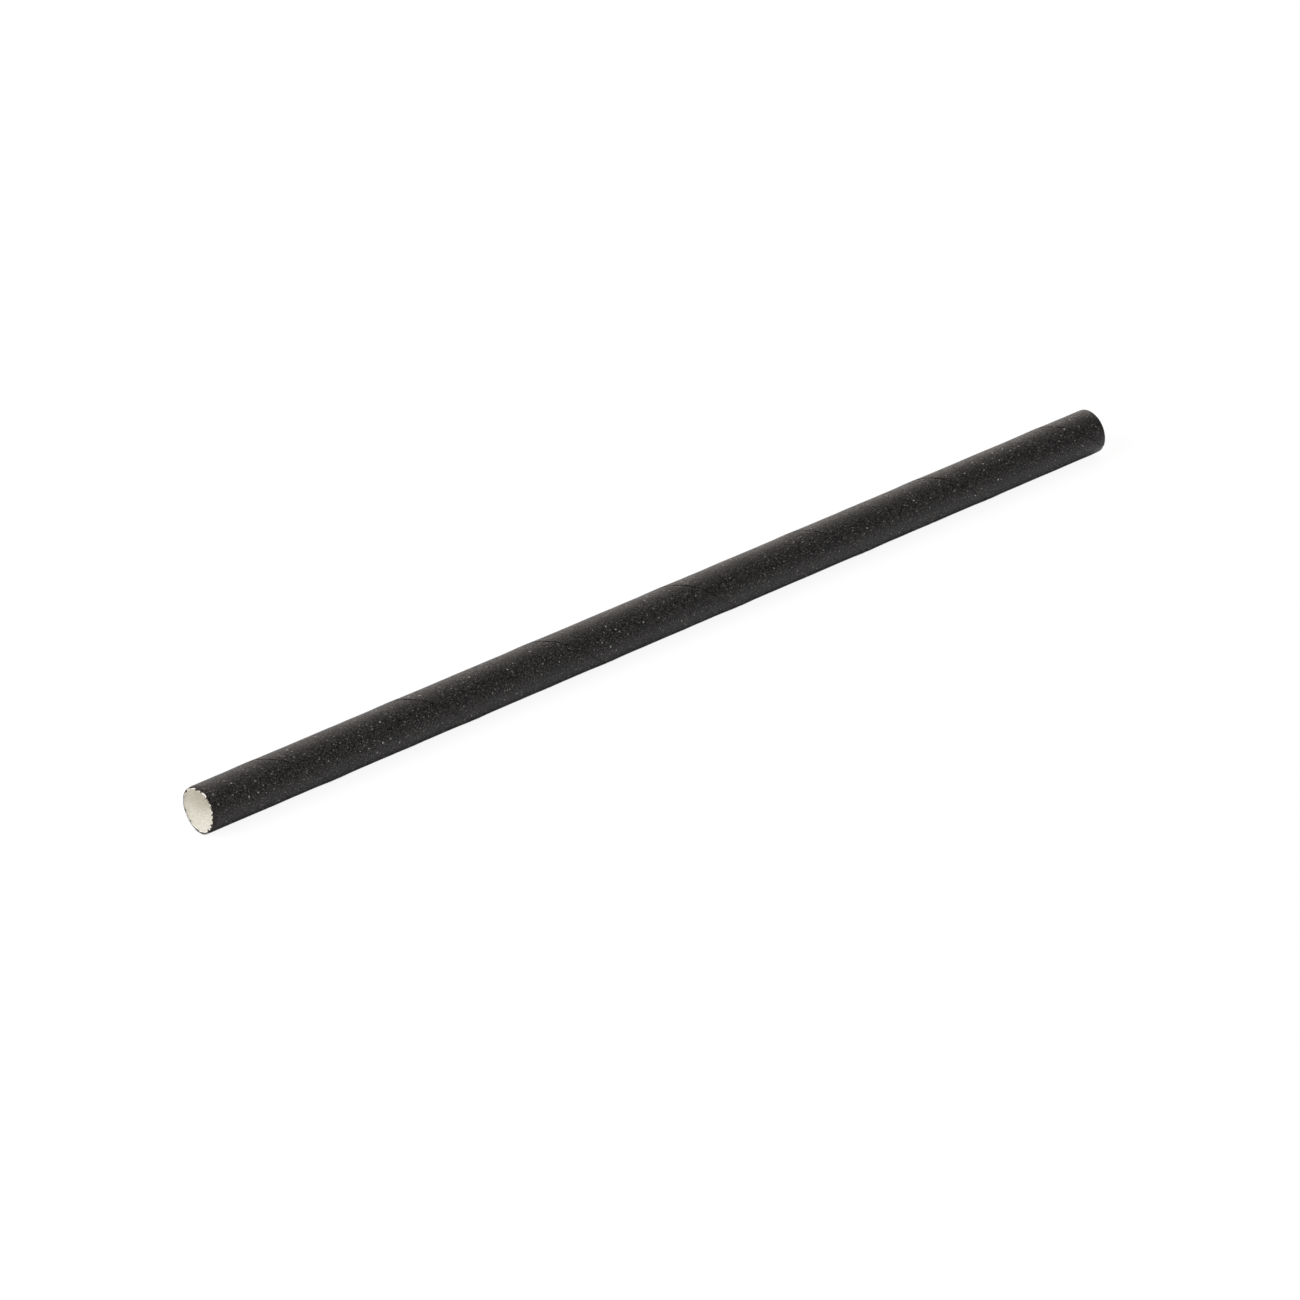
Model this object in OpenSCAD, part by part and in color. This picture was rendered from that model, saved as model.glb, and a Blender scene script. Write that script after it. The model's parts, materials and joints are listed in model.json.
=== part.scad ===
// Spiral-wound paper drinking straw, lying on its side along X.
// Three strips of paper are wound into a tube and glued face to face. Each strip is one solid:
// a round wall cut right through by the helical seam where the strip's own two edges meet.

/* [Tube] */
// Outside diameter of the finished straw
tube_d = 8; // [5:0.5:12]
// Length from one cut end to the other
tube_len = 197; // [120:1:260]

/* [Paper] */
// Thickness of the black strip on the outside
outer_ply_t = 0.1; // [0.06:0.01:0.16]
// Thickness of the white strip under it
middle_ply_t = 0.15; // [0.1:0.01:0.25]
// Thickness of the white strip that lines the bore
inner_ply_t = 0.15; // [0.1:0.01:0.25]

/* [Winding] */
// Advance along the straw in one turn of the strips, which wind like a right-hand thread
wind_lead = 29; // [20:1:60]
// Gap between a strip's two edges, measured square to the seam
seam_gap = 0.1; // [0.06:0.01:0.3]
// Turn from the line that the straw lies on to the black strip's seam, at mid length, in degrees
outer_seam_turn = 153; // [0:1:359]
// Turn from the black strip's seam to the middle strip's seam, in degrees
middle_seam_shift = 166; // [60:1:300]
// Turn from the middle strip's seam to the inner strip's seam, in degrees
inner_seam_shift = 91; // [60:1:300]

/* [Hidden] */

// Straight steps in one turn of a seam
seam_steps = 24;
// Corners of the seam cutter's outline
blade_corners = 4;
// Distance that a seam cutter reaches past the faces that it cuts
overcut = 0.5;

outer_r = tube_d / 2;
middle_r = outer_r - outer_ply_t;
inner_r = middle_r - middle_ply_t;
bore_r = inner_r - inner_ply_t;

middle_seam_turn = outer_seam_turn + middle_seam_shift;
inner_seam_turn = middle_seam_turn + inner_seam_shift;

$fn = 120;

// Width of a seam measured round the straw, which is more than its width square to the seam
function gap_round(r) = seam_gap * norm([1, 2 * PI * r / wind_lead]);

// A thin blade that winds round the Z axis, standing where a strip's edges leave their gap
module seam_cutter(r_out, r_in, turn) {
    cut_len = tube_len + 2 * overcut;
    cut_turn = 360 * cut_len / wind_lead;
    slices = ceil(seam_steps * cut_len / wind_lead);
    blade_w = gap_round(r_out);
    translate([0, 0, -cut_len / 2])
        rotate(turn - cut_turn / 2)
            linear_extrude(
                height = cut_len, twist = -cut_turn, slices = slices, segments = blade_corners
            )
                translate([r_in - overcut, -blade_w / 2])
                    square([r_out - r_in + 2 * overcut, blade_w]);
}

// One strip of paper, wound on the Z axis at its own radius
module wound_strip(r_out, r_in, seam_turn) {
    difference() {
        cylinder(r = r_out, h = tube_len, center = true);
        cylinder(r = r_in, h = tube_len + 2 * overcut, center = true);
        seam_cutter(r_out, r_in, seam_turn);
    }
}

// Lays a strip wound on Z down along X, with the straw's lowest line on the ground
module lay_down() {
    translate([0, 0, outer_r])
        rotate([0, 90, 0])
            children();
}

module outer_ply() {
    color([0.16, 0.155, 0.15])
        lay_down()
            wound_strip(outer_r, middle_r, outer_seam_turn);
}

module middle_ply() {
    color([0.93, 0.92, 0.88])
        lay_down()
            wound_strip(middle_r, inner_r, middle_seam_turn);
}

module inner_ply() {
    color([0.96, 0.95, 0.91])
        lay_down()
            wound_strip(inner_r, bore_r, inner_seam_turn);
}

outer_ply();
middle_ply();
inner_ply();
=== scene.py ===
"""The looks of a black spiral-wound paper drinking straw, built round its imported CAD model.

Lengths are in metres. The straw lies along X. A turn is an angle in degrees round it, counted from
the line that it lies on, like a right-hand thread along +X: 90 faces +Y, 180 up and 270 faces -Y.
"""

import json
import math

import bmesh
import bpy
import numpy as np
from mathutils import Euler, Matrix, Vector


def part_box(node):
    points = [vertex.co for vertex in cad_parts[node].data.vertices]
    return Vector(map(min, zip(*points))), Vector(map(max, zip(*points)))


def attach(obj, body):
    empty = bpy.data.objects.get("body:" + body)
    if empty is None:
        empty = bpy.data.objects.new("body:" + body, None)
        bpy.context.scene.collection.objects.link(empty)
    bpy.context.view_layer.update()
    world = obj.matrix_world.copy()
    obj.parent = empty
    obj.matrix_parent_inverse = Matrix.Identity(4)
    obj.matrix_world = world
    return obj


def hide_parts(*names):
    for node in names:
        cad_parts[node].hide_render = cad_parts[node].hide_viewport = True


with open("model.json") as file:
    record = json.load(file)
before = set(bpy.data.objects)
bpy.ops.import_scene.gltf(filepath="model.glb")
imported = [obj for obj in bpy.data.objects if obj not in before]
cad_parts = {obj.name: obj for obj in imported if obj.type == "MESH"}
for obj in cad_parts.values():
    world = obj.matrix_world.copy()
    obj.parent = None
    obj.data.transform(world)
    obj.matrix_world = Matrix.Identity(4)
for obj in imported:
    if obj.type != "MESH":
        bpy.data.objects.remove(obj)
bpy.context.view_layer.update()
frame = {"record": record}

MM = 0.001


# Sizes read from the frame
def radius_of(node):
    low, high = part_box(node)
    return (high[2] - low[2]) / 2


def mount_radius(name):
    for mount in frame["record"]["mounts"]:
        if mount["name"] == name:
            return mount["dims"]["r_mm"] * MM


OUTER_R = radius_of("outer_ply")
MIDDLE_R = radius_of("middle_ply")
INNER_R = radius_of("inner_ply")
BORE_R = mount_radius("bore")
HALF_LEN = (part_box("outer_ply")[1][0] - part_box("outer_ply")[0][0]) / 2

# Winding of the three strips, as in the CAD model
WIND_LEAD = 29 * MM
SEAM_GAP = 0.1 * MM
OUTER_SEAM_TURN = 153
MIDDLE_SEAM_SHIFT = 166
INNER_SEAM_SHIFT = 91

# How far the black strip's face lies under the tube's full radius, away from its lifted seam
FACE_DROP = 0.055 * MM
# Radii of the glued faces, a little under the CAD's, which leave each strip a real thickness
BLACK_GLUE_R = MIDDLE_R - 0.06 * MM
WHITE_GLUE_R = INNER_R - 0.03 * MM


def smooth_step(x):
    x = np.clip(x, 0, 1)
    return x * x * (3 - 2 * x)


def turned(turn, at):
    """The turn counted from another one, from -180 to 180 degrees."""
    return (turn - at + 180) % 360 - 180


def rise(distance, height, reach):
    """A smooth rise of this height at distance 0, which falls off within about twice its reach."""
    return height * np.exp(-((distance / reach) ** 2))


def ring_noise(turn, cells, seed):
    """Smooth random values from -1 to 1 round the straw, with this many cells in a full turn."""
    values = np.random.default_rng(seed).uniform(-1, 1, cells)
    place = np.mod(turn, 360) / 360 * cells
    cell = np.floor(place).astype(int)
    share = smooth_step(place - cell)
    return values[cell % cells] * (1 - share) + values[(cell + 1) % cells] * share


WAVES = 14


def wave_noise(x, turn, longest, most_lobes, seed):
    """Gentle random waves over the tube's face, about -1 to 1, that close up round it."""
    rng = np.random.default_rng(seed)
    total = np.zeros(np.broadcast(x, turn).shape)
    for _ in range(WAVES):
        length = longest * rng.uniform(0.25, 1)
        lobes = rng.integers(-most_lobes, most_lobes + 1)
        phase = rng.uniform(0, 2 * math.pi)
        total += np.sin(2 * math.pi * x / length + lobes * np.radians(turn) + phase)
    return total / math.sqrt(WAVES) / 1.4


# The two cut ends, by the sign of their X
NEAR, FAR = -1, 1
# Length of tube at each cut end that has closer rows of vertices, and the steps there and between
END_ZONE = 1.4 * MM
FINE_STEP = 0.07 * MM
LONG_STEP = 0.62 * MM


def stations():
    """Places along X of the rows of vertices, close together near both cut ends."""
    fine = np.arange(0, END_ZONE, FINE_STEP)
    middle_count = round(2 * (HALF_LEN - END_ZONE) / LONG_STEP)
    middle = np.linspace(END_ZONE, 2 * HALF_LEN - END_ZONE, middle_count)
    return np.concatenate([fine, middle, 2 * HALF_LEN - fine[::-1]]) - HALF_LEN


# Half width in degrees of the bands round a strip where its vertices stand closer together
FOCUS_TURN = 9.0


def columns(count, gap_turn, focus, gain):
    """Turns from a strip's seam to its other edge, closer together near the turns in focus."""
    turns = np.linspace(gap_turn / 2, 360 - gap_turn / 2, 4000)
    weight = np.ones_like(turns)
    for at in focus:
        weight += rise(turned(turns, at), gain, FOCUS_TURN)
    share = np.concatenate([[0], np.cumsum((weight[1:] + weight[:-1]) / 2)])
    return np.interp(np.linspace(0, share[-1], count), share, turns)


class MeshRows:
    """Gathers rows of vertices and the faces between them."""

    def __init__(self):
        self.points = []
        self.maps = []
        self.faces = []
        self.count = 0

    def add(self, points, maps):
        first = self.count
        self.points.append(points)
        self.maps.append(maps)
        self.count += len(points)
        return np.arange(first, self.count)

    def bridge(self, row, row_turns, after, after_turns):
        """Faces from one row to the next: quads where they are as long, or else triangles."""
        if len(row) == len(after):
            self.faces += list(zip(row[:-1], row[1:], after[1:], after[:-1]))
            return
        i = j = 0
        while i < len(row) - 1 or j < len(after) - 1:
            row_ended = i == len(row) - 1
            after_ended = j == len(after) - 1
            if after_ended or (not row_ended and row_turns[i + 1] <= after_turns[j + 1]):
                self.faces.append((row[i], row[i + 1], after[j]))
                i += 1
            else:
                self.faces.append((row[i], after[j + 1], after[j]))
                j += 1

    def make(self, name, sharp_angle):
        mesh = bpy.data.meshes.new(name)
        points = np.concatenate(self.points)
        mesh.from_pydata(points.tolist(), [], [tuple(int(k) for k in f) for f in self.faces])
        maps = np.concatenate(self.maps)
        corners = np.empty(len(mesh.loops), dtype=np.int32)
        mesh.loops.foreach_get("vertex_index", corners)
        layer = mesh.uv_layers.new(name="strip")
        layer.uv.foreach_set("vector", maps[corners].astype(np.float32).ravel())
        mesh.shade_smooth()
        mesh.set_sharp_from_angle(angle=sharp_angle)
        mesh.update()
        obj = bpy.data.objects.new(name, mesh)
        bpy.context.scene.collection.objects.link(obj)
        return obj


class Strip:
    """A wound strip of paper: its node, its two radii, and its seam's turn, pitch and gap."""

    def __init__(self, node, r_out, r_in, seam_turn):
        self.node = node
        self.r_out = r_out
        self.r_in = r_in
        self.seam_turn = seam_turn
        self.pitch = math.atan(2 * math.pi * r_out / WIND_LEAD)
        self.gap_turn = math.degrees(SEAM_GAP / math.cos(self.pitch) / r_out)

    def width(self):
        """Width of the paper strip, square to its edges."""
        return 2 * math.pi * self.r_out * math.cos(self.pitch)

    def turn_at(self, x, from_seam):
        return self.seam_turn + 360 * x / WIND_LEAD + from_seam

    def row(self, rows, x, from_seam, radius, shift):
        """Adds one row of vertices at x. The shift along X is the cut end's raggedness."""
        turn = np.radians(self.turn_at(x, from_seam))
        along_x = x + shift
        height = OUTER_R - radius * np.cos(turn)
        points = np.stack([along_x + 0 * turn, radius * np.sin(turn), height], 1)
        arc = turn * self.r_out
        along = along_x * math.cos(self.pitch) + arc * math.sin(self.pitch)
        across = np.radians(from_seam) * self.r_out * math.cos(self.pitch)
        return rows.add(points, np.stack([along, across + 0 * along], 1))


def near_cut(x, reach):
    """1 at a cut end, falling to 0 within about twice this reach of it."""
    return rise(HALF_LEN - np.abs(x), 1, reach)


# How far the knife pushed the wall in at the near cut, in millimetres at these turns
PRESS_TURNS = (0, 20, 115, 140, 160, 185, 205, 228, 245, 262, 300, 318, 340, 360)
PRESS_DEPTHS = (
    0.02, 0.03, 0.03, 0.10, 0.14, 0.12, 0.05, 0.13, 0.22, 0.29, 0.29, 0.20, 0.04, 0.02,
)
# How far it pushed the wall in at the far cut, and how far along the straw both pushes reach
FAR_PRESS = 0.03 * MM
PRESS_REACH = 0.36 * MM


def pressed(x, turn):
    """How far a cut has pushed the wall in toward the bore, at this place."""
    near = np.interp(np.mod(turn, 360), PRESS_TURNS, PRESS_DEPTHS) * MM
    depth = near * (1 + 0.2 * ring_noise(turn, 70, 19)) if x < 0 else FAR_PRESS
    return depth * near_cut(x, PRESS_REACH)


def make_strip(strip, counts, focus, out_relief, in_relief, recess, cap_rows):
    """Builds a closed ribbon: outer face, cut end, inner face, the other cut end and both edges.

    The counts are of vertices round the outer face, the inner face and the cut ends. The reliefs
    are added to the radii, and the recess is how far a cut edge lies inside the tube's end.
    """
    out_count, in_count, end_count = counts
    rows = MeshRows()
    places = stations()
    last = len(places) - 1
    coarse_out = columns(out_count, strip.gap_turn, focus, gain=5.0)
    coarse_in = columns(in_count, strip.gap_turn, (), gain=0)
    fine = columns(end_count, strip.gap_turn, focus, gain=1.0)

    def face_row(k, coarse, radius, relief):
        x = places[k]
        distance = min(x + HALF_LEN, HALF_LEN - x)
        end = NEAR if x < 0 else FAR
        from_seam = fine if distance < END_ZONE - FINE_STEP / 2 else coarse
        turn = strip.turn_at(x, from_seam)
        fade = (1 - min(distance / END_ZONE, 1)) ** 2
        shift = -end * recess(turn, end) * fade
        r = radius + relief(x, turn, from_seam)
        return strip.row(rows, x, from_seam, r, shift), from_seam

    def cap_row(end, share):
        x = end * HALF_LEN
        turn = strip.turn_at(x, fine)
        r_out = strip.r_out + out_relief(x, turn, fine)
        r_in = strip.r_in + in_relief(x, turn, fine)
        r = r_out * (1 - share) + r_in * share
        tufts = 0.012 * MM * (ring_noise(turn, 300, 7 + end + int(9 * share)) - 0.2)
        shift = -end * np.maximum(recess(turn, end) - tufts, 0)
        return strip.row(rows, x, fine, r, shift), fine

    loop = [face_row(k, coarse_out, strip.r_out, out_relief) for k in range(last + 1)]
    shares = (np.arange(cap_rows) + 1) / (cap_rows + 1)
    loop += [cap_row(FAR, s) for s in shares]
    loop += [face_row(k, coarse_in, strip.r_in, in_relief) for k in range(last, -1, -1)]
    loop += [cap_row(NEAR, s) for s in shares[::-1]]
    for (row, turns), (after, after_turns) in zip(loop, loop[1:] + loop[:1]):
        rows.bridge(row, turns, after, after_turns)

    outer = [row for row, _ in loop[: last + 1]]
    far_cap = [row for row, _ in loop[last + 1 : last + 1 + cap_rows]]
    inner = [row for row, _ in loop[last + 1 + cap_rows : 2 * (last + 1) + cap_rows]][::-1]
    near_cap = [row for row, _ in loop[2 * (last + 1) + cap_rows :]]
    for side, flipped in ((0, False), (-1, True)):
        walls = [
            (outer[k][side], outer[k + 1][side], inner[k + 1][side], inner[k][side])
            for k in range(last)
        ]
        walls.append([outer[last][side]] + [c[side] for c in far_cap] + [inner[last][side]])
        walls.append([inner[0][side]] + [c[side] for c in near_cap] + [outer[0][side]])
        rows.faces += [tuple(w[::-1]) if flipped else tuple(w) for w in walls]
    return rows.make(strip.node + "_paper", math.radians(50))


# The three strips
MIDDLE_SEAM_TURN = OUTER_SEAM_TURN + MIDDLE_SEAM_SHIFT
INNER_SEAM_TURN = MIDDLE_SEAM_TURN + INNER_SEAM_SHIFT
outer_strip = Strip("outer_ply", OUTER_R, BLACK_GLUE_R, OUTER_SEAM_TURN)
middle_strip = Strip("middle_ply", BLACK_GLUE_R, WHITE_GLUE_R, MIDDLE_SEAM_TURN)
inner_strip = Strip("inner_ply", WHITE_GLUE_R, BORE_R, INNER_SEAM_TURN)


def from_line(from_seam, line_turn, radius, pitch):
    """Distance across the strip, square to the seams, from a line at this turn from the seam."""
    return np.radians(turned(from_seam, line_turn)) * radius * math.cos(pitch)


def black_relief(x, turn, from_seam):
    """The black face: a low ridge on its seam with one edge lower, the buried seam and cockling."""
    seam = from_line(from_seam, 0, OUTER_R, outer_strip.pitch)
    buried = from_line(from_seam, MIDDLE_SEAM_SHIFT, OUTER_R, outer_strip.pitch)
    ridge = rise(seam, FACE_DROP, 1.5 * MM)
    step = np.where(seam > 0, rise(seam, 0.045 * MM, 0.30 * MM), 0)
    buried_ridge = rise(buried, 0.018 * MM, 1.2 * MM)
    buried_dip = rise(buried, 0.020 * MM, 0.25 * MM)
    cockle = 0.010 * MM * wave_noise(x, turn, 18 * MM, 7, 3)
    face = np.minimum(ridge - step + buried_ridge - buried_dip + cockle - FACE_DROP, 0)
    return face - pressed(x, turn)


# Thickness of the black edge at the near cut in millimetres, thin where white fibres flare over it
EDGE_TURNS = (
    0, 20, 60, 115, 122, 130, 136, 142, 165, 188, 196,
    208, 218, 232, 238, 246, 256, 300, 330, 350, 360,
)
EDGE_THICKNESS = (
    0.08, 0.11, 0.11, 0.12, 0.20, 0.16, 0.04, 0.18, 0.16, 0.12, 0.03,
    0.03, 0.13, 0.10, 0.05, 0.16, 0.16, 0.16, 0.24, 0.22, 0.08,
)
FAR_EDGE_THICKNESS = 0.085


def black_glue_relief(x, turn, from_seam):
    """The face between black and white, which thins the black edge at the cuts."""
    near = np.interp(np.mod(turn, 360), EDGE_TURNS, EDGE_THICKNESS)
    ragged = 1 + 0.3 * ring_noise(turn, 90, 15) + 0.2 * ring_noise(turn, 200, 16)
    edge = (near if x < 0 else FAR_EDGE_THICKNESS) * MM * ragged
    full = OUTER_R - FACE_DROP - BLACK_GLUE_R
    return np.maximum(full - edge, -0.02 * MM) * near_cut(x, 0.12 * MM) - pressed(x, turn)


def white_glue_relief(x, turn, from_seam):
    """The face between the white strips, which have come apart a little at the near rim."""
    apart = rise(turned(turn, 228), 1, 17) + rise(turned(turn, 285), 0.5, 14)
    return -0.05 * MM * apart * near_cut(x, 0.25 * MM) * (x < 0) - pressed(x, turn)


def bore_relief(x, turn, from_seam):
    """The bore's face: slight cockling, and a burr at both cuts."""
    cockle = 0.008 * MM * wave_noise(x, turn, 12 * MM, 5, 11)
    burr = 0.03 * MM * (ring_noise(turn, 110, 17) + 0.6 * ring_noise(turn, 230, 18))
    return cockle + burr * near_cut(x, 0.15 * MM) - pressed(x, turn)


# Scallops torn out of the black strip's near edge: turn, half width in degrees and depth in mm
NEAR_SCALLOPS = (
    (134, 4, 0.10), (160, 5, 0.06), (199, 7, 0.14), (208, 5, 0.12), (221, 4, 0.10), (235, 4, 0.14),
    (253, 3, 0.10), (266, 3, 0.12), (287, 3, 0.10), (315, 3.5, 0.12),
)
# Deepest of the small chips at the cut ends, which the knife left cleaner at the far end
CHIP_DEPTH = {NEAR: 0.07 * MM, FAR: 0.03 * MM}


def chips(turn, end, seed, depth, cells):
    """Short torn places in a cut edge, deeper where the noise runs high."""
    return depth * np.clip(ring_noise(turn, cells, seed + end) - 0.25, 0, 1)


def black_recess(turn, end):
    """How far the black strip's cut edge lies inside the tube's end."""
    wavy = 0.008 * MM * (1 + ring_noise(turn, 60, 21 + end))
    torn = wavy + chips(turn, end, 31, CHIP_DEPTH[end], 150) + 0.004 * MM
    if end < 0:
        for at, half_width, depth in NEAR_SCALLOPS:
            off = turned(turn, at) / half_width
            bite = depth * MM * np.sqrt(np.clip(1 - off**2, 0, 1))
            torn = np.maximum(torn, bite * (1 + 0.3 * ring_noise(turn, 210, 5)))
    return torn


def middle_recess(turn, end):
    """How far the middle strip's cut edge lies inside the tube's end."""
    wavy = 0.012 * MM * (1 + ring_noise(turn, 150, 51 + end))
    return 0.020 * MM + wavy + chips(turn, end, 61, 0.05 * MM, 220)


def inner_recess(turn, end):
    """How far the inner strip's cut edge lies inside the tube's end."""
    wavy = 0.012 * MM * (1 + ring_noise(turn, 170, 71 + end))
    return 0.025 * MM + wavy + chips(turn, end, 81, 0.06 * MM, 240)


black_paper_piece = make_strip(
    outer_strip, (160, 38, 420), (0, MIDDLE_SEAM_SHIFT),
    black_relief, black_glue_relief, black_recess, cap_rows=2,
)
middle_paper_piece = make_strip(
    middle_strip, (60, 44, 360), (),
    black_glue_relief, white_glue_relief, middle_recess, cap_rows=3,
)
inner_paper_piece = make_strip(
    inner_strip, (44, 90, 360), (),
    white_glue_relief, bore_relief, inner_recess, cap_rows=3,
)


# Torn bits and fibres at the cut ends
MICRON = 1e-6


def rim_place(x, turn, r):
    """The point at this turn and radius, r in metres."""
    a = math.radians(turn)
    return np.array([x, r * math.sin(a), OUTER_R - r * math.cos(a)])


class Scraps:
    """Gathers small closed shapes at the cut ends into one mesh."""

    def __init__(self, seed):
        self.rng = np.random.default_rng(seed)
        self.points = []
        self.faces = []

    def tube(self, rings):
        """Joins closed rings of as many points each, and closes both ends."""
        first, size = len(self.points), len(rings[0])
        for ring in rings:
            self.points += [tuple(p) for p in ring]
        for k in range(len(rings) - 1):
            for j in range(size):
                a, b = first + k * size + j, first + k * size + (j + 1) % size
                self.faces.append((a, b, b + size, a + size))
        last = first + (len(rings) - 1) * size
        self.faces.append(tuple(range(first + size - 1, first - 1, -1)))
        self.faces.append(tuple(range(last, last + size)))

    def tongue(self, end, turn, half_width, tip_turn, tip_r):
        """A torn bit of black paper over the cut, from the black edge to its tip (radius in mm)."""
        cut = end * HALF_LEN
        base_r = OUTER_R - FACE_DROP - float(pressed(cut, turn)) - 0.04 * MM
        rings = []
        for s in np.linspace(0, 1, 7):
            t = turn + (tip_turn - turn) * s
            r = base_r + (tip_r * MM - base_r) * s
            wide = half_width * (1 - s) ** 0.6 * self.rng.uniform(0.75, 1.25) + 0.15
            front = cut - end * self.rng.uniform(0.003, 0.012) * MM
            back = cut - end * (0.035 + 0.12 * (1 - s) ** 2) * MM
            rings.append([
                rim_place(front, t - wide, r), rim_place(front, t + wide, r),
                rim_place(back, t + wide, r), rim_place(back, t - wide, r),
            ])
        self.tube(rings)

    def split(self, end, first_turn, last_turn, first_r, last_r, width):
        """A thin ragged line along a cut, radii and width in mm."""
        cut = end * HALF_LEN
        rings = []
        for s in np.linspace(0, 1, 10):
            t = first_turn + (last_turn - first_turn) * s
            r = (first_r + (last_r - first_r) * s + 0.02 * self.rng.uniform(-1, 1)) * MM
            swell = math.sin(math.pi * (0.1 + 0.85 * s)) * self.rng.uniform(0.6, 1.2)
            half = width / 2 * MM * swell
            front = cut - end * self.rng.uniform(0.006, 0.014) * MM
            back = cut - end * 0.09 * MM
            rings.append([
                rim_place(front, t, r - half), rim_place(front, t, r + half),
                rim_place(back, t, r + half), rim_place(back, t, r - half),
            ])
        self.tube(rings)

    def hair(self, start, toward, length, thickness, sway):
        """A thin tapering fibre that curves from its start.

        Its range of radii and the most that it sways sideways are in micrometres.
        """
        thick = self.rng.uniform(*thickness) * MICRON
        bend = self.rng.uniform(-sway, sway) * MICRON
        toward = toward / np.linalg.norm(toward)
        side = np.cross(toward, (1, 0, 0))
        side = side / np.linalg.norm(side)
        other = np.cross(toward, side)
        rings = []
        for s in np.linspace(0, 1, 5):
            middle = start + toward * length * s + side * bend * s * s
            r = thick * (1 - 0.7 * s)
            ring = []
            for k in range(3):
                a = 2 * math.pi * k / 3
                ring.append(middle + r * (math.cos(a) * side + math.sin(a) * other))
            rings.append(ring)
        self.tube(rings)

    def strand(self, start, aim, thickness, sway):
        """A fibre from its start to its aim."""
        self.hair(start, aim - start, float(np.linalg.norm(aim - start)), thickness, sway)

    def crumb(self, middle, size):
        """A small lump."""
        rings = []
        for k in range(1, 5):
            v = math.pi * k / 5
            ring = []
            for j in range(6):
                a = 2 * math.pi * j / 6
                r = size * self.rng.uniform(0.7, 1.1)
                ring.append(middle + r * np.array(
                    [0.5 * math.cos(v), math.sin(v) * math.cos(a), math.sin(v) * math.sin(a)]
                ))
            rings.append(ring)
        self.tube(rings)

    def make(self, name):
        mesh = bpy.data.meshes.new(name)
        mesh.from_pydata([tuple(float(v) for v in p) for p in self.points], [], self.faces)
        shape = bmesh.new()
        shape.from_mesh(mesh)
        bmesh.ops.recalc_face_normals(shape, faces=shape.faces)
        shape.to_mesh(mesh)
        shape.free()
        mesh.update()
        obj = bpy.data.objects.new(name, mesh)
        bpy.context.scene.collection.objects.link(obj)
        return obj


# Torn bits of black paper over the near cut: turn and half width at the edge in degrees, then the
# tip's turn and its radius in mm
NEAR_TONGUES = (
    (182, 8.0, 167, 3.28), (192, 3.2, 190, 3.40), (216, 3.2, 214, 3.44), (222, 3.0, 221, 3.56),
    (229, 4.2, 227, 3.48), (245, 6.0, 248, 3.44), (258, 3.8, 263, 3.12), (273, 7.0, 277, 3.22),
    (282, 3.2, 284, 3.38), (292, 6.5, 297, 3.18), (305, 4.5, 308, 3.40), (322, 4.4, 320, 3.30),
    (333, 3.0, 332, 3.60), (150, 5.0, 151, 3.60), (160, 3.0, 159, 3.62), (124, 7.5, 124, 3.54),
    (102, 2.4, 101, 3.64), (67, 2.6, 68, 3.54), (38, 2.4, 38, 3.48), (18, 2.4, 16, 3.70),
    (4, 3.6, 5, 3.66), (346, 3.4, 344, 3.66),
)
# Brown lines where the strips have come apart on the near cut: the turns of both ends, then their
# radii and the line's width in mm
NEAR_SPLITS = (
    (172, 181, 3.52, 3.62, 0.14), (189, 193, 3.52, 3.68, 0.13), (212, 217, 3.55, 3.72, 0.11),
    (217, 224, 3.62, 3.56, 0.07), (225, 231, 3.56, 3.72, 0.12), (236, 243, 3.60, 3.50, 0.09),
    (256, 263, 3.56, 3.34, 0.12), (300, 312, 3.52, 3.50, 0.08),
)
# Tufts of white fibre on the near cut: turn, radius and size in millimetres
NEAR_TUFTS = (
    (141, 3.58, 0.09), (147, 3.54, 0.11), (154, 3.52, 0.10), (160, 3.50, 0.11), (184, 3.54, 0.08),
    (197, 3.74, 0.11), (202, 3.70, 0.12), (207, 3.66, 0.10), (218, 3.56, 0.08), (235, 3.52, 0.11),
    (240, 3.46, 0.08), (253, 3.43, 0.10), (267, 3.40, 0.11), (286, 3.36, 0.10), (302, 3.38, 0.09),
    (313, 3.45, 0.12), (327, 3.54, 0.10), (352, 3.64, 0.09),
)
# Hairs in one tuft
TUFT_HAIRS = 8
# Loose dark crumbs on the near cut: turn, radius and size in millimetres
NEAR_CRUMBS = (
    (190, 3.62, 0.06), (215, 3.52, 0.05), (322, 3.60, 0.06), (316, 3.55, 0.05), (66, 3.80, 0.05),
)


def inside(end, depth):
    """The place along X at this depth inside a cut end."""
    return end * (HALF_LEN - depth)


def pushed(end, turn):
    """How far the wall is pushed in at a cut end."""
    return float(pressed(end * HALF_LEN, turn))


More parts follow.
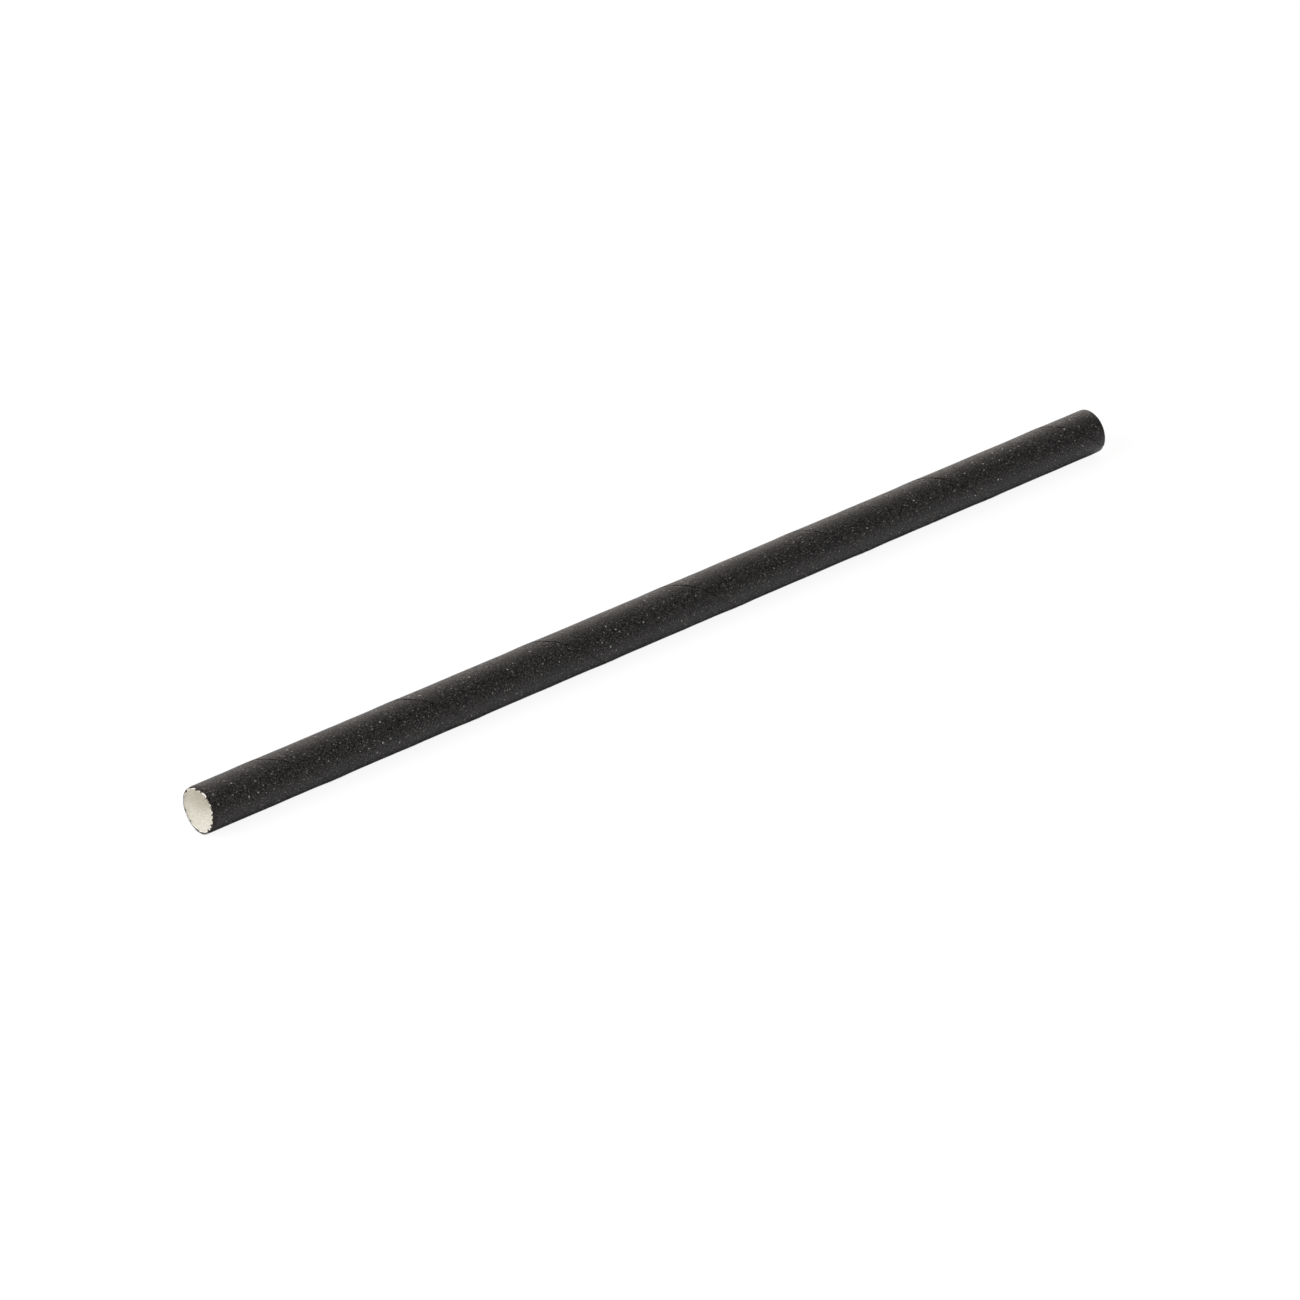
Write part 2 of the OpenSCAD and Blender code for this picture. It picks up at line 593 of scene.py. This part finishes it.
def make_torn_bits():
    """The torn black tongues, the brown lines and the crumbs on the cuts."""
    torn = Scraps(101)
    rng = torn.rng
    for tongue in NEAR_TONGUES:
        torn.tongue(NEAR, *tongue)
    for line in NEAR_SPLITS:
        torn.split(NEAR, *line)

    def small_tongues(end, count, turns, widest, lean, tip_radius):
        for _ in range(count):
            turn = rng.uniform(*turns)
            half_width = rng.uniform(0.6, widest)
            tip_turn = turn + rng.uniform(-lean, lean)
            torn.tongue(end, turn, half_width, tip_turn, tip_radius(turn))

    small_tongues(
        NEAR, 22, (205, 330), 1.8, 3,
        lambda turn: 3.90 - pushed(NEAR, turn) / MM - rng.uniform(0.10, 0.28),
    )
    small_tongues(NEAR, 24, (-5, 200), 1.6, 2, lambda turn: rng.uniform(3.76, 3.86))
    small_tongues(FAR, 26, (0, 360), 1.8, 3, lambda turn: rng.uniform(3.66, 3.82))
    for turn, r, size in NEAR_CRUMBS:
        torn.crumb(rim_place(inside(NEAR, (size + 0.01) * 0.6 * MM), turn, r * MM), size * MM)
    return torn.make("torn_black_bits")


def make_fibres():
    """The white fibres on the cuts: over the rim, into the bore, on the flared part, in tufts."""
    fibres = Scraps(202)
    rng = fibres.rng

    def mm_between(low, high):
        return rng.uniform(low, high) * MM

    for end, count in ((NEAR, 150), (FAR, 60)):
        for _ in range(count):
            turn = rng.uniform(0, 360)
            inner = pushed(end, turn)
            r = mm_between(3.66, 3.84) - inner
            start = rim_place(inside(end, 0.035 * MM), turn, r)
            reach = min(mm_between(0.08, 0.24), 3.97 * MM - inner - r)
            depth = mm_between(0.008, 0.05)
            aim = rim_place(inside(end, depth), turn + rng.uniform(-3, 3), r + reach)
            fibres.strand(start, aim, (4, 7), 15)
    for end, count, turns in ((NEAR, 70, (170, 380)), (FAR, 24, (0, 360))):
        for _ in range(count):
            turn = rng.uniform(*turns)
            r = mm_between(3.60, 3.66) - pushed(end, turn)
            start = rim_place(inside(end, 0.05 * MM), turn, r)
            depth = mm_between(0.05, 0.3)
            aim_turn = turn + rng.uniform(-4, 4)
            aim = rim_place(inside(end, depth), aim_turn, r - mm_between(0.06, 0.26))
            fibres.strand(start, aim, (5, 9), 30)
    for _ in range(60):
        turn = rng.normal(152, 14)
        inner = pushed(NEAR, turn)
        start = rim_place(inside(NEAR, 0.03 * MM), turn, mm_between(3.60, 3.78) - inner)
        aim_turn = turn + rng.uniform(-4, 4)
        aim = rim_place(inside(NEAR, 0.012 * MM), aim_turn, mm_between(3.58, 3.80) - inner)
        fibres.strand(start, aim, (8, 14), 20)
    for turn, r, size in NEAR_TUFTS:
        root = rim_place(inside(NEAR, 0.06 * MM), turn, r * MM)
        for _ in range(TUFT_HAIRS):
            way = rng.uniform(0, 2 * math.pi)
            toward = np.array([-0.15, math.sin(way), math.cos(way)])
            fibres.hair(root, toward, size * mm_between(0.6, 1.1), (18, 27), 20)
    return fibres.make("rim_fibres")


torn_piece = make_torn_bits()
fibre_piece = make_fibres()


# Materials
class Shader:
    """Short calls for building a node tree."""

    def __init__(self, name):
        self.material = bpy.data.materials.new(name)
        self.material.use_nodes = True
        self.tree = self.material.node_tree
        self.tree.nodes.clear()

    def add(self, kind, values=None, **settings):
        node = self.tree.nodes.new(kind)
        for key, value in settings.items():
            setattr(node, key, value)
        for key, value in (values or {}).items():
            self.put(node.inputs[key], value)
        return node

    def put(self, socket, value):
        if isinstance(value, bpy.types.NodeSocket):
            self.tree.links.new(value, socket)
        else:
            socket.default_value = value

    def math(self, operation, a, b=0.0):
        return self.add("ShaderNodeMath", {0: a, 1: b}, operation=operation).outputs[0]

    def total(self, *parts):
        """The sum of some values, each times its weight."""
        terms = [self.math("MULTIPLY", value, weight) for value, weight in parts]
        value = terms[0]
        for term in terms[1:]:
            value = self.math("ADD", value, term)
        return value

    def ramp(self, value, low, high, to_low=0.0, to_high=1.0):
        """Goes smoothly from one number to the other while the value goes from low to high."""
        values = {
            "Value": value, "From Min": low, "From Max": high, "To Min": to_low, "To Max": to_high,
        }
        node = self.add("ShaderNodeMapRange", values, interpolation_type="SMOOTHSTEP", clamp=True)
        return node.outputs["Result"]

    def mix(self, share, a, b):
        node = self.add("ShaderNodeMix", data_type="RGBA")
        self.put(node.inputs["Factor"], share)
        self.put(node.inputs["A"], a)
        self.put(node.inputs["B"], b)
        return node.outputs["Result"]

    def scaled(self, vector, scale):
        node = self.add("ShaderNodeVectorMath", operation="MULTIPLY")
        self.put(node.inputs[0], vector)
        node.inputs[1].default_value = scale
        return node.outputs["Vector"]

    def noise(self, vector, scale, detail=4.0, roughness=0.55):
        values = {"Vector": vector, "Scale": scale, "Detail": detail, "Roughness": roughness}
        return self.add("ShaderNodeTexNoise", values, noise_dimensions="2D").outputs["Fac"]

    def cells(self, vector, scale):
        values = {"Vector": vector, "Scale": scale}
        return self.add("ShaderNodeTexVoronoi", values, voronoi_dimensions="2D", feature="F1")

    def finish(self, shader):
        output = self.add("ShaderNodeOutputMaterial")
        self.tree.links.new(shader, output.inputs["Surface"])
        return self.material

    def paper(self, base, roughness, specular, height, bump_height, bump_strength):
        """Finishes the material as paper with this bump."""
        values = {"Strength": bump_strength, "Distance": bump_height, "Height": height}
        bump = self.add("ShaderNodeBump", values)
        surface = self.add("ShaderNodeBsdfPrincipled", {"Base Color": base, "Roughness": roughness})
        self.put(surface.inputs["Specular IOR Level"], specular)
        self.put(surface.inputs["Normal"], bump.outputs["Normal"])
        return self.finish(surface.outputs["BSDF"])


def grey(level, warm=0.0):
    """A linear colour of this level, with more red by warm."""
    return (level * (1 + warm), level, level * (1 - 0.3 * warm), 1.0)


def shaded_tint(tint, shares):
    """The tint with its red, green and blue each times a share."""
    return tuple(level * share for level, share in zip(tint, shares)) + (1.0,)


# Linear colours of the black paper: its dye, worn dye, grain, fibres, flecks and cut edge
DYE = grey(0.0002, 0.1)
FADED_DYE = grey(0.0150, 0.12)
LIGHT_GRAIN = grey(0.094, 0.12)
PALE_FIBRE = grey(0.085, 0.16)
SMALL_FLECK = grey(0.22, 0.10)
LARGE_FLECK = grey(0.40, 0.08)
DARK_CUT = grey(0.004, 0.5)
# Flecks: cells for each millimetre, smallest and largest radius in mm, and share of cells with one
LARGE_FLECKS = (0.62, 0.10, 0.20, 0.36)
SMALL_FLECKS = (1.3, 0.07, 0.15, 0.62)
# How far a fleck's outline is bent, in mm
FLECK_BEND = 0.22

# The white paper, its clouded and mottled parts, and its lighter fibres
PAPER_TINT = (0.955, 0.927, 0.862, 1.0)
CLOUDED = shaded_tint(PAPER_TINT, (0.94, 0.93, 0.90))
MOTTLED = shaded_tint(PAPER_TINT, (0.87, 0.86, 0.835))
LIGHT_FIBRE = (0.90, 0.88, 0.83, 1.0)
# The cut paper's light and dark tints, painted lighter on the -Y side and painted darker, as shade,
# on the +Y side
CUT_TINTS_LIT_SIDE = ((0.93, 0.91, 0.87, 1.0), (0.62, 0.54, 0.46, 1.0))
CUT_TINTS_SHADED_SIDE = ((0.66, 0.63, 0.56, 1.0), (0.34, 0.30, 0.24, 1.0))
# Glue and dye under the black seam's gap, made darker as painted shade deep in the gap
GLUE_AND_GAP_SHADE = grey(0.004)
# Dark and light of the torn black paper, and of the white fibres on the rim
TORN_PAPER = ((0.012, 0.009, 0.008, 1.0), (0.095, 0.066, 0.050, 1.0))
RIM_FIBRE = ((0.70, 0.66, 0.60, 1.0), (0.86, 0.84, 0.79, 1.0))


def along_axis(shader, axis):
    """The place along one of the object's axes, in metres."""
    place = shader.add("ShaderNodeTexCoord").outputs["Object"]
    return shader.add("ShaderNodeSeparateXYZ", {"Vector": place}).outputs[axis]


def cut_mask(shader, first, last):
    """0 away from the cut ends, rising to 1 between these distances from them."""
    distance = shader.math("ABSOLUTE", along_axis(shader, "X"))
    return shader.ramp(distance, HALF_LEN - first, HALF_LEN - last)


MM_IN_METRE = (1000.0, 1000.0, 1000.0)


def strip_place(shader):
    """Place on the strip in millimetres: X along the strip, Y across it."""
    uv = shader.add("ShaderNodeUVMap", uv_map="strip").outputs["UV"]
    return shader.scaled(uv, MM_IN_METRE)


def specks(shader, place, scale, smallest, largest, share):
    """Light flecks, one at most in each cell: the mask and a random value for each."""
    values = {"Vector": place, "Scale": 7.0, "Detail": 2.0}
    wobble = shader.add("ShaderNodeTexNoise", values, noise_dimensions="2D").outputs["Color"]
    values = {0: wobble, 1: (FLECK_BEND, FLECK_BEND, 0.0), 2: place}
    bent = shader.add("ShaderNodeVectorMath", values, operation="MULTIPLY_ADD")
    cell = shader.cells(bent.outputs["Vector"], scale)
    parts = shader.add("ShaderNodeSeparateColor", {"Color": cell.outputs["Color"]}).outputs
    size = shader.ramp(parts["Red"], 0.0, 1.0, smallest * scale, largest * scale)
    inner = shader.math("MULTIPLY", size, 0.45)
    disc = shader.ramp(cell.outputs["Distance"], inner, size, 1.0, 0.0)
    there = shader.math("LESS_THAN", parts["Green"], share)
    return shader.math("MULTIPLY", disc, there), parts["Blue"]


def black_paper():
    """Matte black paper, dyed unevenly, with grain, fibres and light flecks."""
    shader = Shader("black_paper")
    place = strip_place(shader)
    blotches = shader.noise(place, 0.9, 4.0, 0.78)
    fibres = shader.noise(shader.scaled(place, (0.7, 2.6, 1.0)), 2.0, 4.0, 0.7)
    grain = shader.noise(place, 3.6, 3.0, 0.7)
    cloud = shader.noise(place, 0.25, 2.0, 0.5)

    faded = shader.ramp(cloud, 0.3, 0.7, -0.15, 0.15)
    faded = shader.math("ADD", shader.ramp(blotches, 0.40, 0.66), faded)
    faded = shader.math("MINIMUM", shader.math("MAXIMUM", faded, 0.0), 1.0)
    base = shader.mix(faded, DYE, FADED_DYE)
    base = shader.mix(shader.ramp(grain, 0.53, 0.68, 0.0, 0.80), base, LIGHT_GRAIN)
    base = shader.mix(shader.ramp(grain, 0.34, 0.50, 0.95, 0.0), base, DYE)
    base = shader.mix(shader.ramp(fibres, 0.57, 0.72, 0.0, 0.65), base, PALE_FIBRE)

    large, large_random = specks(shader, place, *LARGE_FLECKS)
    small, small_random = specks(shader, shader.scaled(place, (0.8, 1.3, 1.0)), *SMALL_FLECKS)
    small_share = shader.math("MULTIPLY", small, shader.ramp(small_random, 0, 1, 0.2, 0.9))
    large_share = shader.math("MULTIPLY", large, shader.ramp(large_random, 0, 1, 0.3, 1.0))
    cut_share = shader.math("MULTIPLY", cut_mask(shader, 0.6 * MM, 0.1 * MM), 0.75)
    base = shader.mix(small_share, base, SMALL_FLECK)
    base = shader.mix(large_share, base, LARGE_FLECK)
    base = shader.mix(cut_share, base, DARK_CUT)

    height = shader.total((fibres, 0.8), (grain, 0.6), (blotches, 0.9), (large, 0.25))
    rough = shader.ramp(blotches, 0.35, 0.65, 0.26, 0.42)
    return shader.paper(base, rough, 0.26, height, 0.14 * MM, 1.0)


def white_paper(name, glue_and_shade_turn=None, width=1.0):
    """Uncoated white paper, darker where the knife cut it, with painted light on the cut's -Y side
    and painted shade on its +Y side, and dark with glue and painted shade under the black seam.

    The dark line lies under the black seam's gap, at this turn from the strip's own seam: glue and
    dye there, and painted shade deep in the narrow gap.
    """
    shader = Shader(name)
    place = strip_place(shader)
    fibres = shader.noise(shader.scaled(place, (0.8, 3.0, 1.0)), 1.6, 5.0, 0.6)
    grain = shader.noise(place, 7.0, 4.0, 0.6)
    cloud = shader.noise(place, 0.3, 2.0, 0.5)
    mottle = shader.noise(place, 2.4, 3.0, 0.7)
    base = shader.mix(shader.ramp(cloud, 0.3, 0.7), PAPER_TINT, CLOUDED)
    base = shader.mix(shader.ramp(fibres, 0.45, 0.8, 0.0, 0.35), base, LIGHT_FIBRE)
    base = shader.mix(shader.ramp(mottle, 0.42, 0.60), base, MOTTLED)
    # Painted light and shade on the cut face: lighter toward -Y, darker toward +Y
    shaded_side_share = shader.ramp(along_axis(shader, "Y"), 1.2 * MM, 2.8 * MM)
    light, dark = (shader.mix(shaded_side_share, *pair) for pair in zip(CUT_TINTS_LIT_SIDE, CUT_TINTS_SHADED_SIDE))
    cut = shader.mix(shader.ramp(grain, 0.35, 0.60), dark, light)
    base = shader.mix(cut_mask(shader, 0.15 * MM, 0.09 * MM), base, cut)
    if glue_and_shade_turn is not None:
        # A dark line under the black seam's gap: glue and dye, and painted shade
        across = shader.add("ShaderNodeSeparateXYZ", {"Vector": place}).outputs["Y"]
        middle = glue_and_shade_turn / 360 * width / MM
        off = shader.math("ABSOLUTE", shader.math("SUBTRACT", across, middle))
        base = shader.mix(shader.ramp(off, 0.10, 0.26, 0.97, 0.0), base, GLUE_AND_GAP_SHADE)
    height = shader.total((fibres, 0.8), (grain, 0.5))
    return shader.paper(base, 0.85, 0.3, height, 0.03 * MM, 0.7)


def rim_paper(name, dark, light, scale):
    """Torn paper at a cut, mottled between two colours. The scale is in cells for each mm."""
    shader = Shader(name)
    place = shader.scaled(shader.add("ShaderNodeTexCoord").outputs["Object"], MM_IN_METRE)
    values = {"Vector": place, "Scale": scale, "Detail": 3.0, "Roughness": 0.6}
    mottle = shader.add("ShaderNodeTexNoise", values).outputs["Fac"]
    base = shader.mix(shader.ramp(mottle, 0.4, 0.6), dark, light)
    return shader.paper(base, 0.8, 0.2, mottle, 0.02 * MM, 0.6)


black_paper_piece.data.materials.append(black_paper())
middle_paper_piece.data.materials.append(
    white_paper("middle_white_paper", 360 - MIDDLE_SEAM_SHIFT, middle_strip.width())
)
inner_paper_piece.data.materials.append(white_paper("bore_white_paper"))
torn_piece.data.materials.append(rim_paper("torn_black_paper", *TORN_PAPER, scale=4.0))
fibre_piece.data.materials.append(rim_paper("white_fibre", *RIM_FIBRE, scale=6.0))

for piece, node, slot in (
    (black_paper_piece, "outer_ply", "black_paper"),
    (middle_paper_piece, "middle_ply", "white_paper"),
    (inner_paper_piece, "inner_ply", "white_paper"),
):
    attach(piece, "root")
    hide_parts(node)
for piece, slot in ((torn_piece, "black_paper"), (fibre_piece, "white_paper")):
    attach(piece, "root")


# Camera, from a perspective fit of the photo's edges with a 1300 pixel frame
CAMERA_PLACE = (-0.64083, -0.70799, 0.51577)
CAMERA_HEADING = 41.976
CAMERA_DIP = 28.531
FOCAL_PIXELS = 6580.9
FRAME_PIXELS = 1300
SENSOR_MM = 36.0

camera_data = bpy.data.cameras.new("camera")
camera_data.sensor_width = SENSOR_MM
camera_data.lens = SENSOR_MM * FOCAL_PIXELS / FRAME_PIXELS
camera_data.clip_start = 0.01
camera = bpy.data.objects.new("camera", camera_data)
camera.location = CAMERA_PLACE
camera.rotation_euler = Euler((math.radians(90 - CAMERA_DIP), 0, math.radians(-CAMERA_HEADING)))
bpy.context.scene.collection.objects.link(camera)
bpy.context.scene.camera = camera


# Floor, world and lamps
FLOOR_SIZE = 4.0
# Gaps under the straw below which a painted shadow darkens the floor to the camera, and in
# reflections
CONTACT_GAP = 0.3 * MM
REFLECTED_GAP = 3.0 * MM
# The floor's pale level and its own glow, to the light, in reflections and to the camera
FLOOR_LIT = (0.8, 0.0)
FLOOR_REFLECTED = (0.15, 0.85)
FLOOR_SEEN = (0.12, 0.905)
# Colour of the painted contact shadow on the floor
FLOOR_CONTACT_SHADOW = grey(0.02)


def floor_material():
    """A plain pale floor to the light, white to the camera and to glosses, with a soft shadow.

    A painted shadow, mixed in by ambient occlusion, makes it darkest right under the straw, where
    hardly any light gets in.
    """
    shader = Shader("floor")
    path = shader.add("ShaderNodeLightPath").outputs
    mirrored = shader.math("MAXIMUM", path["Is Glossy Ray"], path["Is Transmission Ray"])
    layers = []
    for level, glow in (FLOOR_LIT, FLOOR_REFLECTED, FLOOR_SEEN):
        diffuse = shader.add("ShaderNodeBsdfDiffuse", {"Color": (level, level, level, 1.0)})
        emission = shader.add("ShaderNodeEmission", {"Color": (1, 1, 1, 1), "Strength": glow})
        both = {0: diffuse.outputs["BSDF"], 1: emission.outputs["Emission"]}
        layers.append(shader.add("ShaderNodeAddShader", both).outputs[0])
    lit, reflected, seen = layers

    def blend(share, first, second):
        """The second shader by this share, and the first one for the rest."""
        return shader.add("ShaderNodeMixShader", {0: share, 1: first, 2: second}).outputs[0]

    dark = shader.add("ShaderNodeBsdfDiffuse", {"Color": FLOOR_CONTACT_SHADOW}).outputs["BSDF"]

    def shaded(layer, gap, darkest, lightest):
        """The layer, with painted shade where something lies closer over it than the gap."""
        opening = shader.add("ShaderNodeAmbientOcclusion", {"Distance": gap}, samples=4)
        share = shader.ramp(opening.outputs["AO"], darkest, lightest)
        return blend(share, dark, layer)

    reflected = shaded(reflected, REFLECTED_GAP, 0.35, 0.9)
    seen = shaded(seen, CONTACT_GAP, 0.15, 0.95)
    lit = blend(mirrored, lit, reflected)
    return shader.finish(blend(path["Is Camera Ray"], lit, seen))


floor_mesh = bpy.data.meshes.new("floor")
reach = FLOOR_SIZE / 2
corners = [(-reach, -reach, 0), (reach, -reach, 0), (reach, reach, 0), (-reach, reach, 0)]
floor_mesh.from_pydata(corners, [], [(0, 1, 2, 3)])
floor_mesh.materials.append(floor_material())
floor = bpy.data.objects.new("floor", floor_mesh)
bpy.context.scene.collection.objects.link(floor)


# The world's strength to the light, and what glosses see of the room in front of the straw
WORLD_FILL = 0.58
FRONT_OF_ROOM = 0.1
# The Y of the directions between which the room goes from that to white
FRONT_END = -0.2
BACK_START = 0.6


def make_world():
    """An even fill to the light, and a white background to the camera and to glosses.

    Glosses see it white behind the straw and above it, and darker on the camera's side.
    """
    world = bpy.data.worlds.new("studio")
    bpy.context.scene.world = world
    world.use_nodes = True
    tree = world.node_tree
    tree.nodes.clear()

    def add(kind, first=None, second=None):
        node = tree.nodes.new(kind)
        for socket, link in zip(node.inputs, (first, second)):
            if link is not None:
                tree.links.new(link, socket)
        return node

    path = add("ShaderNodeLightPath").outputs
    mirrored = add("ShaderNodeMath", path["Is Glossy Ray"], path["Is Transmission Ray"])
    mirrored.operation = "MAXIMUM"
    direction = add("ShaderNodeSeparateXYZ", add("ShaderNodeTexCoord").outputs["Generated"])
    room = add("ShaderNodeMapRange", direction.outputs["Y"])
    room.inputs["From Min"].default_value = FRONT_END
    room.inputs["From Max"].default_value = BACK_START
    room.inputs["To Min"].default_value = FRONT_OF_ROOM
    room.inputs["To Max"].default_value = 1.0
    light = add("ShaderNodeBackground")
    light.inputs["Color"].default_value = (1, 1, 1, 1)
    light.inputs["Strength"].default_value = WORLD_FILL
    seen_in_gloss = (mirrored.outputs[0], room.outputs["Result"])
    for share, strength in (seen_in_gloss, (path["Is Camera Ray"], None)):
        white = add("ShaderNodeBackground", None, strength)
        white.inputs["Color"].default_value = (1, 1, 1, 1)
        mix = add("ShaderNodeMixShader", share, light.outputs[0])
        tree.links.new(white.outputs[0], mix.inputs[2])
        light = mix
    add("ShaderNodeOutputWorld", light.outputs[0])


make_world()


LAMP_DISTANCE = 1.2
LAMP_SIZE = 0.6
# Name, heading and height in degrees, watts and colour of each lamp
LAMPS = (
    ("key", 174, 35, 8.8, (0.96, 0.985, 1)),
    ("front", -142, 25, 2.0, (1, 0.95, 0.88)),
    ("low_back", 48, 12, 1.4, (1, 0.85, 0.74)),
    ("high_back", 48, 42, 0.5, (1, 0.75, 0.58)),
)


def soft_lamp(name, heading, height, watts, colour):
    """A square softbox that faces the straw. Its heading is counted from +X toward +Y."""
    h, v = math.radians(heading), math.radians(height)
    toward = Vector((math.cos(v) * math.cos(h), math.cos(v) * math.sin(h), math.sin(v)))
    data = bpy.data.lights.new(name, "AREA")
    data.shape = "SQUARE"
    data.size = LAMP_SIZE
    data.energy = watts
    data.color = colour
    lamp = bpy.data.objects.new(name, data)
    lamp.location = toward * LAMP_DISTANCE
    lamp.rotation_euler = (-toward).to_track_quat("-Z", "Y").to_euler()
    bpy.context.scene.collection.objects.link(lamp)


for lamp_values in LAMPS:
    soft_lamp(*lamp_values)

bpy.context.scene.view_settings.view_transform = "Standard"
